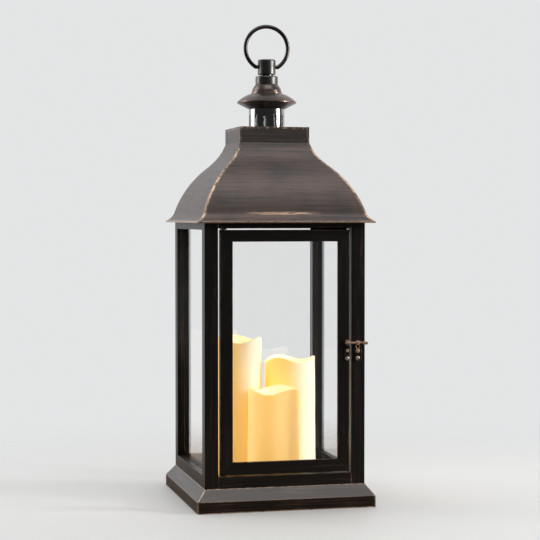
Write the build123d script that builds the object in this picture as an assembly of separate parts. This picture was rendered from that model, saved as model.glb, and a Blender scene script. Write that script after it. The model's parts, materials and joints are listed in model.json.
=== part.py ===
from build123d import *
import math
import os

# Hanging lantern: a glazed square cabin with a hinged door, an ogee roof with a vented chimney and a
# carrying ring, and three battery candles. Millimetres. Origin at the centre of the base's underside,
# +Z up, -Y out of the door side, +X towards the latch.

# ---------------------------------------------------------------- driving dimensions
SHEET = 1.2                     # folded sheet metal thickness
SLIP = 0.02                     # hole allowance for a pressed or screwed piece, on the radius
RUN = 0.06                      # hole allowance for a turning pin, on the radius
CLEAR = 0.3                     # gap between faces that move past each other

# base
PLINTH_HALF = 132.0
PLINTH_EDGE = 16.6              # height of the upright edge
LEDGE_Z = 33.0                  # top of the plinth, where the cabin stands
LEDGE_INNER = 97.0              # half width of the hole in the plinth's top
FLOOR_Z = 28.0                  # candles stand here
PAN_FLANGE = 104.0
PAN_HALF = 97.5
SCREW_REACH = 101.5             # from the lantern's axis to each floor screw
SCREW_SPREAD = 80.0
FLOOR_SCREW = (2.8, 1.8, 5.5)   # head radius, head rise, length under the head

# cabin frame
BODY_HALF = 119.0
POST = 20.0
POST_ROUND = 1.0
EAVE_Z = 414.0                  # underside of the roof, top of the posts
POST_INNER = BODY_HALF - POST
SILL_TOP = 50.0
HEADER_BOTTOM = 407.0
SIDE_RAIL_TOP = 51.0
SIDE_RAIL_DEPTH = 10.2
SIDE_HEADER_BOTTOM = 404.0
EDGE_ROUND = 0.6

# glass
GLASS = 2.0
PANE_OUT = BODY_HALF - SIDE_RAIL_DEPTH - CLEAR
PANE_EDGE_GAP = 0.4
CLIP_THICK = 0.8
CLIP_WIDTH = 10.0
CLIP_REACH = 6.0
CLIP_RISE = 13.0
HIGH_CLIP_RISE = 9.0            # short enough to stay behind the header
CLIP_SPREAD = 60.0

# door
DOOR_LEFT = -95.6
DOOR_RIGHT = 96.0
DOOR_BOTTOM = 51.5
DOOR_TOP = 404.0
DOOR_FRONT = -118.0
DOOR_DEPTH = 11.0
DOOR_BACK = DOOR_FRONT + DOOR_DEPTH
STILE = 18.0
TOP_RAIL = 17.0
BOTTOM_RAIL = 19.0
DOOR_LIP = 8.0                  # front lip that covers the edge of the glass
DOOR_LIP_THICK = 2.5
DOOR_GLASS_OVERLAP = 6.5
GLASS_PLAY = 0.1
DOOR_CLIP_EDGE = 10.0           # from the door's outer edge to a clip's foot
DOOR_CLIP_REACH = 7.0
DOOR_CLIP_END = 40.0            # from a rail to the nearest clip
PIVOT_X = -90.5
PIVOT_Y = DOOR_FRONT + DOOR_DEPTH / 2
PIN_R = 2.0
BUSH_R = 3.5
BUSH_LENGTH = 14.0
PIN_REACH = 11.0                # how far each pin stands in the door
PIN_SEAT_LOW = 6.0
PIN_SEAT_HIGH = 4.0
SPACER_R = 4.0
SPACER_HALF = 4.2
STOP_X = (40.5, 95.0)
STOP_DROP = 9.0
STOP_FOOT = 6.0

# roof
EAVE_HALF = 131.5
EAVE_LIP = 1.9
ROOF_OPENING = 99.0
NECK_HALF = 52.5
NECK_TOP = 554.3
CAP_PLATE_TOP = 555.5
# Points of the roof's side, with the slope of the surface's outward normal in degrees.
FLARE_MID = (124.9, 420.8)
FLARE_TOP = (119.8, 429.6)
CROWN_MID = (102.4, 467.2)
WAIST = (76.3, 497.5)
SWEEP_MID = (62.4, 512.8)
NECK_FOOT = (NECK_HALF, 532.0)
NORMALS = {FLARE_MID: 38.0, FLARE_TOP: 14.0, CROWN_MID: 33.0, WAIST: 47.0, SWEEP_MID: 38.0, NECK_FOOT: 12.0}

# chimney and finial
CHIMNEY_R = 27.0
CHIMNEY_TOP = 584.0
SLOT_COUNT = 11
SLOT_WIDTH = 3.6
SLOT_BOTTOM = 558.0
SLOT_TOP = 575.0
SLOT_TURN = 15.0                # degrees from the front towards +X to the first slot
VENT_HOLE_R = 25.0
CAP_RIM_R = 44.6
CAP_RIM_Z = (593.2, 594.8)      # lower and upper edge of the rim
CAP_RIM_FOLD = 1.6
CAP_BULGE = (34.9, 602.4)
CAP_BULGE_BACK = (33.9, 601.1)
CAP_STEP = [(23.6, 607.5), (23.6, 608.7), (22.4, 609.3)]
CAP_STEP_BACK = (21.6, 607.1)
CAP_DOME_MID = (20.6, 615.6)
CAP_DOME_BACK = (19.6, 614.8)
COLLAR_BOTTOM = 621.0
COLLAR_TOP = 633.8
COLLAR_R = 16.9
GROOVE_R = 9.5
KNOB_BOTTOM = 636.0
KNOB_TOP = 658.5
KNOB_R = 13.4
BOLT_R = 3.0
BOLT_SLIP = 0.1
BOLT_TOP = 643.0
BOLT_HEAD = (5.8, 4.0)          # corner radius, height
TIE_BAR_THICK = 2.0
TIE_BAR_HALF_WIDTH = 6.0

# carrying ring
RING_R = 32.6                   # to the middle of the wire
WIRE_R = 3.0
RING_Z = 675.4
RING_PIVOT_Z = 647.6
STUB_R = 2.9
STUB_INNER_X = 6.5

# latch
LATCH_PIVOT = (92.5, 239.5)     # x, z
LATCH_PLATE_X = (88.6, 96.0)
LATCH_PLATE_Z = (212.8, 243.6)
LATCH_PLATE_THICK = 1.2
LATCH_PLATE_ROUND = 3.0
SWELL_Z = 228.0
SWELL = (2.9, 1.9, 1.4)         # foot radius, top radius, rise
BOSS_R = 3.6
BOSS_RISE = 1.8
RIVET_R = 1.5
RIVET_HEAD_R = 2.9
RIVET_HEAD_RISE = 1.1
ARM_THICK = 2.0
ARM_HALF_HEIGHT = 1.7
ARM_TAB_X = (114.5, 122.0)
ARM_TAB_Z = (236.9, 241.0)
ARM_TAB_STEP = 1.6              # how far the tab stands in front of the arm
STUD = (107.6, 238.0)
STUD_R = 1.8
STUD_CLEAR = 0.6
ARCH_R = 4.2
ARCH_RAISE = 0.6                # centre of the arch above the stud
KEEPER_X = (103.8, 113.4)
KEEPER_Z = (212.8, 242.4)
KEEPER_ROUND = 3.4
KEEPER_BOSS_Z = 227.6
KEEPER_BOSS = (3.6, 2.2, 2.6)   # foot radius, top radius, rise
RIB = (1.1, 1.4, 8.0)
RIB_LEAN = 24.0
SCREW_Z = 217.0
LATCH_SCREW = (3.1, 1.9, 5.0)   # head radius, head rise, length under the head
SCREW_SHANK_R = 1.45

# candles
CANDLE_R = 39.4                 # at the foot
CANDLE_TAPER = 1.2              # how much less the radius is at the rim
CANDLE_FOOT = FLOOR_Z + 0.2
CANDLE_BORE = 32.0
WAX_ROUND = 2.5
RECESS_R = 33.0
RECESS_DEPTH = 14.0
DIAPHRAGM = 6.0
HOUSING_R = 31.7
HOUSING_WALL = 1.6
HOUSING_LIFT = 1.0
HOUSING_HEIGHT = 26.0
BAY_WALL = 1.2
BAY_DEPTH = 14.0
STEM_R = 6.0
STEM_BORE = 4.2
LIGHT_R = 3.6
LIGHT_TIP_R = 0.9
LIGHT_TIP_RISE = 7.0
PLUG_DEPTH = 8.0
COVER_HALF_Y = 17.2
CELL_R = 5.25
CELL_LENGTH = 43.5
CELL_PITCH = 11.0
CELL_NUB_R = 1.9
CELL_NUB = 1.0
CELL_LIFT = 0.6
CONTACT_X = 24.3
CONTACT_THICK = 0.5
CONTACT_HALF = (15.5, 4.5)      # half width along Y, half height
CONTACT_BUTTON_R = 2.6
COVER_NOTCH_R = 5.0
SWITCH_Y = 24.0
SWITCH_TRAVEL = 4.0
SWITCH_KNOB = (5.0, 3.2)
SWITCH_FLANGE = (7.0, 5.6)
SWITCH_DROP = 0.6               # how far the knob stands below the housing
CANDLES = {                     # x, y, top of the wax
    "candle_short": (0.0, -46.0, 170.6),
    "candle_medium": (41.5, 21.5, 210.4),
    "candle_tall": (-41.5, 25.0, 241.6),
}


# ---------------------------------------------------------------- helpers
BOTTOM_ALIGN = (Align.CENTER, Align.CENTER, Align.MIN)      # stands a solid on its origin
PAST = 1.0                      # how far a cutting solid runs past the surface it cuts


def block(x0, x1, y0, y1, z0, z1):
    """Box between two corners."""
    centre = Pos((x0 + x1) / 2, (y0 + y1) / 2, (z0 + z1) / 2)
    return centre * Box(x1 - x0, y1 - y0, z1 - z0)


def square_block(half, z0, z1):
    """Square slab centred on the lantern's axis."""
    return block(-half, half, -half, half, z0, z1)


def upright(x, y, z0, z1, radius):
    """Cylinder along Z."""
    return Pos(x, y, (z0 + z1) / 2) * Cylinder(radius, z1 - z0)


def across(x0, x1, y, z, radius):
    """Cylinder along X."""
    return Pos((x0 + x1) / 2, y, z) * Rot(0, 90, 0) * Cylinder(radius, x1 - x0)


def inward(x, z, y0, y1, radius):
    """Cylinder along Y."""
    return Pos(x, (y0 + y1) / 2, z) * Rot(90, 0, 0) * Cylinder(radius, y1 - y0)


def mirrored_face(right_side):
    """Face in the XZ plane from the edges of its right half, drawn from the axis back to the axis."""
    left_side = [mirror(edge, about=Plane.YZ) for edge in right_side]
    edges = [Plane.XZ * edge for edge in list(right_side) + left_side]
    return make_face(edges)


def square_form(section, half):
    """Solid with mitred corners that has the same section from the front and from the side."""
    bar = extrude(section, amount=half, both=True)
    return bar & (Rot(0, 0, 90) * bar)


def straight_edges(points):
    """Edges from each point to the next."""
    return [Line(start, end) for start, end in zip(points, points[1:])]


def turned(edges):
    """Solid of revolution about Z from the edges of a closed section in the XZ plane."""
    section = make_face([Plane.XZ * edge for edge in edges])
    return revolve(section, axis=Axis.Z)


def tube_bar(x0, x1, y0, y1, z0, z1, along):
    """Rectangular tube of sheet metal with softened long edges."""
    outer = block(x0, x1, y0, y1, z0, z1)
    outer = fillet(outer.edges().filter_by(along), EDGE_ROUND)
    reach = {Axis.X: (0, SHEET, SHEET), Axis.Y: (SHEET, 0, SHEET), Axis.Z: (SHEET, SHEET, 0)}[along]
    core = block(x0 + reach[0], x1 - reach[0], y0 + reach[1], y1 - reach[1], z0 + reach[2], z1 - reach[2])
    return outer - core


def pan_screw(head_r, head_rise, length):
    """Round-head screw with a cross recess, head up, seated on z = 0."""
    head = Cylinder(head_r, head_rise, align=BOTTOM_ALIGN)
    head = fillet(head.edges().group_by(Axis.Z)[-1], head_rise * 0.7)
    cross = Box(head_r, head_r / 4, head_rise) + Box(head_r / 4, head_r, head_rise)
    shank = Pos(0, 0, -length / 2) * Cylinder(SCREW_SHANK_R, length)
    return head - Pos(0, 0, head_rise) * cross + shank


# ---------------------------------------------------------------- base
def plinth_solid(inset):
    """Solid under the plinth's outer or inner surface."""
    outline = straight_edges([
        (0, 0),
        (PLINTH_HALF - inset, 0),
        (PLINTH_HALF - inset, PLINTH_EDGE - inset / 2),
        (BODY_HALF - inset / 2, LEDGE_Z - inset),
        (0, LEDGE_Z - inset),
    ])
    return square_form(mirrored_face(outline), PLINTH_HALF + PAST)


def screw_places():
    """Floor screws: two along each side, under the rails."""
    for turn in range(4):
        for offset in (-SCREW_SPREAD, SCREW_SPREAD):
            yield Rot(0, 0, 90 * turn) * Pos(SCREW_REACH, offset, LEDGE_Z - 2 * SHEET)


def drilled(solid):
    """Cuts the floor screws' holes."""
    for place in screw_places():
        solid = solid - place * Cylinder(SCREW_SHANK_R + SLIP, LEDGE_Z / 2)
    return solid


def base_plinth():
    """Hollow plinth: upright edge, sloped top and a level ledge round the floor."""
    shell = plinth_solid(0) - plinth_solid(SHEET)
    shell = shell - square_block(LEDGE_INNER, LEDGE_Z - 2 * SHEET, LEDGE_Z + PAST)
    return drilled(shell)


def floor_pan():
    """Sunk floor with a flange under the ledge."""
    flange_bottom = LEDGE_Z - 2 * SHEET
    pan = square_block(PAN_FLANGE, flange_bottom, LEDGE_Z - SHEET)
    pan = pan + square_block(PAN_HALF, FLOOR_Z - SHEET, LEDGE_Z - SHEET)
    pan = pan - square_block(PAN_HALF - SHEET, FLOOR_Z, LEDGE_Z)
    return drilled(pan)


def floor_screws():
    screw = Rot(180, 0, 0) * pan_screw(*FLOOR_SCREW)
    return Compound([place * screw for place in screw_places()])


# ---------------------------------------------------------------- cabin frame
def post(side_x, side_y):
    """Square tube at one corner of the cabin; the latch's post has the keeper's screw hole."""
    section = RectangleRounded(POST, POST, POST_ROUND) - Rectangle(POST - 2 * SHEET, POST - 2 * SHEET)
    centre = BODY_HALF - POST / 2
    tube = Pos(side_x * centre, side_y * centre, LEDGE_Z) * extrude(section, amount=EAVE_Z - LEDGE_Z)
    hole = inward(STUD[0], SCREW_Z, -BODY_HALF - PAST, -BODY_HALF + 2 * SHEET, SCREW_SHANK_R + SLIP)
    return tube - hole


def rail_front_bottom():
    """Sill under the door, with the lower pivot's hole."""
    rail = tube_bar(-POST_INNER, POST_INNER, -BODY_HALF, -POST_INNER, LEDGE_Z, SILL_TOP, Axis.X)
    return drilled(rail) - upright(PIVOT_X, PIVOT_Y, LEDGE_Z + SHEET, SILL_TOP + PAST, PIN_R + SLIP)


def rail_front_top():
    """Header over the door, with the upper pivot's hole."""
    rail = tube_bar(-POST_INNER, POST_INNER, -BODY_HALF, -POST_INNER, HEADER_BOTTOM, EAVE_Z, Axis.X)
    return rail - upright(PIVOT_X, PIVOT_Y, HEADER_BOTTOM - PAST, EAVE_Z - SHEET, PIN_R + SLIP)


def on_three_sides(left_piece):
    """The left side's piece, repeated for the right side and the rear."""
    return [left_piece, Rot(0, 0, 180) * left_piece, Rot(0, 0, -90) * left_piece]


def side_rail(z0, z1):
    inner = -BODY_HALF + SIDE_RAIL_DEPTH
    return tube_bar(-BODY_HALF, inner, -POST_INNER, POST_INNER, z0, z1, Axis.Y)


# ---------------------------------------------------------------- glass
def pane_left():
    half = POST_INNER - PANE_EDGE_GAP
    return block(
        -PANE_OUT, -PANE_OUT + GLASS, -half, half, LEDGE_Z + PANE_EDGE_GAP, EAVE_Z - PANE_EDGE_GAP
    )


def pane_clips():
    """Angle clips that hold each pane against its rails, two below and two above."""
    back = -PANE_OUT + GLASS
    clips = []
    for y in (-CLIP_SPREAD, CLIP_SPREAD):
        y0 = y - CLIP_WIDTH / 2
        y1 = y + CLIP_WIDTH / 2
        low = block(back, back + CLIP_REACH, y0, y1, LEDGE_Z, LEDGE_Z + CLIP_THICK)
        low = low + block(back, back + CLIP_THICK, y0, y1, LEDGE_Z, LEDGE_Z + CLIP_RISE)
        high = block(back, back + CLIP_REACH, y0, y1, EAVE_Z - CLIP_THICK, EAVE_Z)
        high = high + block(back, back + CLIP_THICK, y0, y1, EAVE_Z - HIGH_CLIP_RISE, EAVE_Z)
        for clip in (low, high):
            clips.extend(on_three_sides(clip))
    return Compound(clips)


# ---------------------------------------------------------------- roof
def inset_point(point, inset):
    """A point of the roof's side moved inwards, square to the surface."""
    angle = math.radians(NORMALS[point])
    return (point[0] - inset * math.cos(angle), point[1] - inset * math.sin(angle))


def roof_form(inset, base_z, top_z):
    """Solid under the roof's outer or inner surface."""
    flare_mid, flare_top, crown_mid, waist, sweep_mid, neck_foot = [
        inset_point(point, inset) for point in NORMALS
    ]
    eave_half = EAVE_HALF - 2.5 * inset
    lip_top = (eave_half, EAVE_Z + EAVE_LIP - inset / 2)
    outline = [
        Line((0, base_z), (eave_half, base_z)),
        Line((eave_half, base_z), lip_top),
        ThreePointArc(lip_top, flare_mid, flare_top),
        ThreePointArc(flare_top, crown_mid, waist),
        ThreePointArc(waist, sweep_mid, neck_foot),
        Line(neck_foot, (neck_foot[0], top_z)),
        Line((neck_foot[0], top_z), (0, top_z)),
    ]
    return square_form(mirrored_face(outline), EAVE_HALF + PAST)


def roof_shell():
    """Folded roof: flared eave, full crown, swept waist and a square neck."""
    shell = roof_form(0, EAVE_Z, NECK_TOP) - roof_form(SHEET, EAVE_Z + SHEET, NECK_TOP + PAST)
    return shell - square_block(ROOF_OPENING, EAVE_Z - PAST, EAVE_Z + 2 * SHEET)


def roof_cap_plate():
    """Plate over the neck, with the flue's hole."""
    plate = square_block(NECK_HALF, NECK_TOP, CAP_PLATE_TOP)
    plate = chamfer(plate.edges().group_by(Axis.Z)[-1], 0.4)
    return plate - upright(0, 0, NECK_TOP - PAST, CAP_PLATE_TOP + PAST, VENT_HOLE_R)


def chimney_tube():
    """Slotted flue under the cap."""
    tube = upright(0, 0, CAP_PLATE_TOP, CHIMNEY_TOP, CHIMNEY_R)
    tube = tube - upright(0, 0, CAP_PLATE_TOP - PAST, CHIMNEY_TOP + PAST, CHIMNEY_R - SHEET)
    half = SLOT_WIDTH / 2
    slot = block(-half, half, -CHIMNEY_R - PAST, -CHIMNEY_R + 2 * SHEET, SLOT_BOTTOM, SLOT_TOP)
    for index in range(SLOT_COUNT):
        tube = tube - Rot(0, 0, SLOT_TURN + index * 360 / SLOT_COUNT) * slot
    return tube


def vent_cap():
    """Spun cap: a skirt rising to the rim, a full brim, a step and a small dome."""
    bore = BOLT_R + BOLT_SLIP
    foot_r = CHIMNEY_R - CLEAR
    rim_low, rim_high = CAP_RIM_Z
    rim_back = CAP_RIM_R - CAP_RIM_FOLD
    lining_top = (COLLAR_R - SHEET / 2, COLLAR_BOTTOM - SHEET)
    rim = [(CAP_RIM_R, rim_low), (CAP_RIM_R, rim_high)]
    skirt = straight_edges([(foot_r, CHIMNEY_TOP)] + rim)
    brim = [ThreePointArc(rim[1], CAP_BULGE, CAP_STEP[0])]
    step = straight_edges(CAP_STEP)
    dome = [ThreePointArc(CAP_STEP[-1], CAP_DOME_MID, (COLLAR_R, COLLAR_BOTTOM))]
    top = straight_edges([
        (COLLAR_R, COLLAR_BOTTOM),
        (bore, COLLAR_BOTTOM),
        (bore, COLLAR_BOTTOM - SHEET),
        lining_top,
    ])
    lining = [ThreePointArc(lining_top, CAP_DOME_BACK, CAP_STEP_BACK)]
    rim_inside = (rim_back, rim_high - SHEET / 2)
    brim_back = [ThreePointArc(CAP_STEP_BACK, CAP_BULGE_BACK, rim_inside)]
    skirt_back = straight_edges([
        rim_inside,
        (rim_back, rim_low + SHEET / 2),
        (foot_r, CHIMNEY_TOP + SHEET),
        (foot_r, CHIMNEY_TOP),
    ])
    return turned(skirt + brim + step + dome + top + lining + brim_back + skirt_back)


def finial_collar():
    """Turned collar with a groove above it."""
    collar = upright(0, 0, COLLAR_BOTTOM, COLLAR_TOP, COLLAR_R)
    collar = fillet(collar.edges().group_by(Axis.Z)[-1], 2.2)
    collar = fillet(collar.edges().group_by(Axis.Z)[0], 0.6)
    groove = upright(0, 0, COLLAR_BOTTOM, KNOB_BOTTOM, GROOVE_R)
    return collar + groove - upright(0, 0, COLLAR_BOTTOM - PAST, KNOB_BOTTOM + PAST, BOLT_R + BOLT_SLIP)


def finial_knob():
    """Knob that carries the ring and screws onto the tie bolt."""
    knob = upright(0, 0, KNOB_BOTTOM, KNOB_TOP, KNOB_R)
    knob = fillet(knob.edges().group_by(Axis.Z)[-1], 2.0)
    knob = fillet(knob.edges().group_by(Axis.Z)[0], 1.0)
    knob = knob - upright(0, 0, KNOB_BOTTOM - PAST, BOLT_TOP + CLEAR, BOLT_R + SLIP)
    return knob - across(-KNOB_R - PAST, KNOB_R + PAST, 0, RING_PIVOT_Z, STUB_R + RUN)


def tie_bar():
    """Bar under the cap plate that the tie bolt pulls against."""
    half = NECK_HALF - 2 * SHEET
    bar = block(-half, half, -TIE_BAR_HALF_WIDTH, TIE_BAR_HALF_WIDTH, NECK_TOP - TIE_BAR_THICK, NECK_TOP)
    return bar - upright(0, 0, NECK_TOP - 2 * TIE_BAR_THICK, NECK_TOP + PAST, BOLT_R + SLIP)


def tie_bolt():
    """Bolt from the tie bar up through the flue, cap and collar into the knob."""
    head_top = NECK_TOP - TIE_BAR_THICK
    corner_r, height = BOLT_HEAD
    head = Pos(0, 0, head_top - height) * extrude(RegularPolygon(corner_r, 6), amount=height)
    return head + upright(0, 0, head_top, BOLT_TOP, BOLT_R)


def ring_handle():
    """Open ring whose ends turn in to the knob."""
    half_gap = math.degrees(math.acos((RING_Z - RING_PIVOT_Z) / RING_R))
    wire = revolve(Pos(RING_R, 0, 0) * Circle(WIRE_R), axis=Axis.Y, revolution_arc=360 - 2 * half_gap)
    wire = Pos(0, 0, RING_Z) * Rot(0, 90 + half_gap, 0) * wire
    end_x = RING_R * math.sin(math.radians(half_gap))
    ring = wire
    for side in (-1, 1):
        ring = ring + Pos(side * end_x, 0, RING_PIVOT_Z) * Sphere(WIRE_R)
        inner, outer = sorted((side * STUB_INNER_X, side * end_x))
        ring = ring + across(inner, outer, 0, RING_PIVOT_Z, STUB_R)
    return ring


# ---------------------------------------------------------------- door
def door_member(corners, tube_x, tube_z, lip_box):
    """One mitred side of the door: a hollow edge with a lip in front of the glass."""
    outline = make_face([Plane.XZ * edge for edge in straight_edges(corners + corners[:1])])
    front = Pos(0, DOOR_BACK, 0) * extrude(outline, amount=DOOR_DEPTH)
    front = chamfer(long_front_edges(front), EDGE_ROUND)
    rebate = block(*lip_box)
    core = block(*tube_x, DOOR_FRONT + SHEET, DOOR_BACK - SHEET, *tube_z)
    member = front - rebate - core
    for z0, z1 in bush_spans():
        member = member - upright(PIVOT_X, PIVOT_Y, z0, z1, BUSH_R + SLIP)
    wall_y = (DOOR_FRONT - PAST, DOOR_FRONT + 2 * SHEET)
    member = member - inward(*LATCH_PIVOT, *wall_y, RIVET_R + SLIP)
    return member - inward(sum(LATCH_PLATE_X) / 2, SCREW_Z, *wall_y, SCREW_SHANK_R + SLIP)


def long_front_edges(prism):
    """The two long edges of a door member's front face, without the mitres."""
    edges = prism.edges().group_by(Axis.Y)[0]
    return edges.filter_by(Axis.X) + edges.filter_by(Axis.Z)


def bush_spans():
    """Heights of the lower and upper pivot bushes."""
    return ((DOOR_BOTTOM, DOOR_BOTTOM + BUSH_LENGTH), (DOOR_TOP - BUSH_LENGTH, DOOR_TOP))


def door_members():
    """The two stiles and two rails, mitred from outer corner to inner corner."""
    outer = [
        (DOOR_LEFT, DOOR_BOTTOM),
        (DOOR_RIGHT, DOOR_BOTTOM),
        (DOOR_RIGHT, DOOR_TOP),
        (DOOR_LEFT, DOOR_TOP),
    ]
    inner_x = (DOOR_LEFT + STILE, DOOR_RIGHT - STILE)
    inner_z = (DOOR_BOTTOM + BOTTOM_RAIL, DOOR_TOP - TOP_RAIL)
    inner = [
        (inner_x[0], inner_z[0]),
        (inner_x[1], inner_z[0]),
        (inner_x[1], inner_z[1]),
        (inner_x[0], inner_z[1]),
    ]
    tube_width = STILE - DOOR_LIP
    rebate_y = (DOOR_FRONT + DOOR_LIP_THICK, DOOR_BACK + PAST)
    rebate = (
        inner_x[0] - (STILE - tube_width),
        inner_x[1] + (STILE - tube_width),
        *rebate_y,
        inner_z[0] - (BOTTOM_RAIL - tube_width),
        inner_z[1] + (TOP_RAIL - tube_width),
    )
    end_gap = BUSH_LENGTH + SPACER_R
    long_z = (DOOR_BOTTOM + end_gap, DOOR_TOP - end_gap)
    long_x = (DOOR_LEFT + end_gap, DOOR_RIGHT - end_gap)
    wall = SHEET
    return {
        "door_stile_hinge": door_member(
            [outer[0], inner[0], inner[3], outer[3]],
            (DOOR_LEFT + wall, DOOR_LEFT + tube_width - wall), long_z, rebate),
        "door_stile_latch": door_member(
            [outer[1], outer[2], inner[2], inner[1]],
            (DOOR_RIGHT - tube_width + wall, DOOR_RIGHT - wall), long_z, rebate),
        "door_rail_bottom": door_member(
            [outer[0], outer[1], inner[1], inner[0]],
            long_x, (DOOR_BOTTOM + wall, DOOR_BOTTOM + tube_width - wall), rebate),
        "door_rail_top": door_member(
            [outer[3], inner[3], inner[2], outer[2]],
            long_x, (DOOR_TOP - tube_width + wall, DOOR_TOP - wall), rebate),
    }


def door_glass_edges():
    """Left, right, bottom and top edges of the door's glass."""
    return (
        DOOR_LEFT + STILE - DOOR_GLASS_OVERLAP,
        DOOR_RIGHT - STILE + DOOR_GLASS_OVERLAP,
        DOOR_BOTTOM + BOTTOM_RAIL - DOOR_GLASS_OVERLAP,
        DOOR_TOP - TOP_RAIL + DOOR_GLASS_OVERLAP,
    )


def door_pane():
    left, right, bottom, top = door_glass_edges()
    y0 = DOOR_FRONT + DOOR_LIP_THICK + GLASS_PLAY
    return block(left, right, y0, y0 + GLASS, bottom, top)


def door_clips():
    """Flat clips on the back of the stiles that hold the glass, three a side."""
    glass_back = DOOR_FRONT + DOOR_LIP_THICK + GLASS_PLAY + GLASS
    blade_y = (glass_back + GLASS_PLAY, glass_back + GLASS_PLAY + CLIP_THICK)
    lowest = DOOR_BOTTOM + BOTTOM_RAIL + DOOR_CLIP_END
    highest = DOOR_TOP - TOP_RAIL - DOOR_CLIP_END
    clips = []
    for edge, way in ((DOOR_LEFT + DOOR_CLIP_EDGE, 1), (DOOR_RIGHT - DOOR_CLIP_EDGE, -1)):
        blade_x = sorted((edge, edge + way * DOOR_CLIP_REACH))
        foot_x = sorted((edge, edge + way * CLIP_THICK))
        for middle in (lowest, (lowest + highest) / 2, highest):
            span_z = (middle - CLIP_WIDTH / 2, middle + CLIP_WIDTH / 2)
            blade = block(*blade_x, *blade_y, *span_z)
            foot = block(*foot_x, blade_y[0], DOOR_BACK, *span_z)
            clips.append(blade + foot)
    return Compound(clips)


def door_bushes():
    """Bored bushes pressed into the door's hinge corners."""
    bushes = []
    for z0, z1 in bush_spans():
        bore = upright(PIVOT_X, PIVOT_Y, z0 - PAST, z1 + PAST, PIN_R + RUN)
        bushes.append(upright(PIVOT_X, PIVOT_Y, z0, z1, BUSH_R) - bore)
    return Compound(bushes)


def hinge_pins():
    """Pivot pins fixed to the sill and the header, each with a spacer that carries the door."""
    low = upright(PIVOT_X, PIVOT_Y, SILL_TOP - PIN_SEAT_LOW, DOOR_BOTTOM + PIN_REACH, PIN_R)
    low = low + upright(PIVOT_X, PIVOT_Y, SILL_TOP, DOOR_BOTTOM - CLEAR, SPACER_R)
    high = upright(PIVOT_X, PIVOT_Y, DOOR_TOP - PIN_REACH, HEADER_BOTTOM + PIN_SEAT_HIGH, PIN_R)
    spacer_x = (PIVOT_X - SPACER_HALF, PIVOT_X + SPACER_HALF)
    spacer_y = (PIVOT_Y - SPACER_R, PIVOT_Y + SPACER_R)
    high = high + block(*spacer_x, *spacer_y, DOOR_TOP + CLEAR, HEADER_BOTTOM)
    return Compound([low, high])


def door_stop():
    """Angle under the header that the closed door rests against."""
    y0 = DOOR_BACK + 2 * CLEAR
    foot = block(*STOP_X, y0, y0 + STOP_FOOT, HEADER_BOTTOM - SHEET, HEADER_BOTTOM)
    return foot + block(*STOP_X, y0, y0 + SHEET, HEADER_BOTTOM - STOP_DROP, HEADER_BOTTOM)


# ---------------------------------------------------------------- latch
def latch_layers():
    """Y of the door plate's face, the boss's face, and the arm's back and front faces."""
    plate_face = DOOR_FRONT - LATCH_PLATE_THICK
    boss_face = plate_face - BOSS_RISE
    arm_back = boss_face - CLEAR
    arm_front = arm_back - ARM_THICK
    return plate_face, boss_face, arm_back, arm_front


def latch_plate():
    """Plate on the door with the arm's boss."""
    plate_face, boss_face, arm_back, arm_front = latch_layers()
    plate = block(*LATCH_PLATE_X, plate_face, DOOR_FRONT, *LATCH_PLATE_Z)
    plate = fillet(plate.edges().filter_by(Axis.Y), LATCH_PLATE_ROUND)
    centre_x = sum(LATCH_PLATE_X) / 2
    swell = Pos(centre_x, plate_face, SWELL_Z) * Rot(90, 0, 0) * Cone(*SWELL, align=BOTTOM_ALIGN)
    plate = plate + inward(*LATCH_PIVOT, boss_face, plate_face, BOSS_R) + swell
    plate = plate - inward(*LATCH_PIVOT, boss_face - PAST, DOOR_FRONT + PAST, RIVET_R + SLIP)
    return plate - inward(centre_x, SCREW_Z, plate_face - PAST, DOOR_FRONT + PAST, SCREW_SHANK_R + SLIP)


def latch_pivot():
    """Rivet the arm turns on."""
    plate_face, boss_face, arm_back, arm_front = latch_layers()
    head_back = arm_front - CLEAR
    head = inward(*LATCH_PIVOT, head_back - RIVET_HEAD_RISE, head_back, RIVET_HEAD_R)
    head = fillet(head.edges().group_by(Axis.Y)[0], EDGE_ROUND)
    return head + inward(*LATCH_PIVOT, head_back, DOOR_FRONT + SHEET, RIVET_R)


def latch_arm():
    """Swinging arm that arches over the keeper's stud and ends in a thumb tab."""
    plate_face, boss_face, arm_back, arm_front = latch_layers()
    pivot_x, pivot_z = LATCH_PIVOT
    stud_x, stud_z = STUD
    bottom = pivot_z - ARM_HALF_HEIGHT
    notch = STUD_R + STUD_CLEAR
    cut_y = (arm_front - PAST, arm_back + PAST)
    arm = block(pivot_x, ARM_TAB_X[1] - PAST, arm_front, arm_back, bottom, pivot_z + ARM_HALF_HEIGHT)
    arm = arm + inward(pivot_x, pivot_z, arm_front, arm_back, BOSS_R)
    arm = arm + inward(stud_x, stud_z + ARCH_RAISE, arm_front, arm_back, ARCH_R)
    arm = arm - block(stud_x - ARCH_R, stud_x + ARCH_R, *cut_y, stud_z - 2 * ARCH_R, bottom)
    arm = arm - block(stud_x - notch, stud_x + notch, *cut_y, bottom - PAST, stud_z)
    arm = arm - inward(stud_x, stud_z, *cut_y, notch)
    tab = block(*ARM_TAB_X, arm_front - ARM_TAB_STEP, arm_back, *ARM_TAB_Z)
    tab = fillet(tab.edges().filter_by(Axis.Y).group_by(Axis.X)[-1], ARM_HALF_HEIGHT)
    return arm + tab - inward(pivot_x, pivot_z, *cut_y, RIVET_R + RUN)


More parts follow.
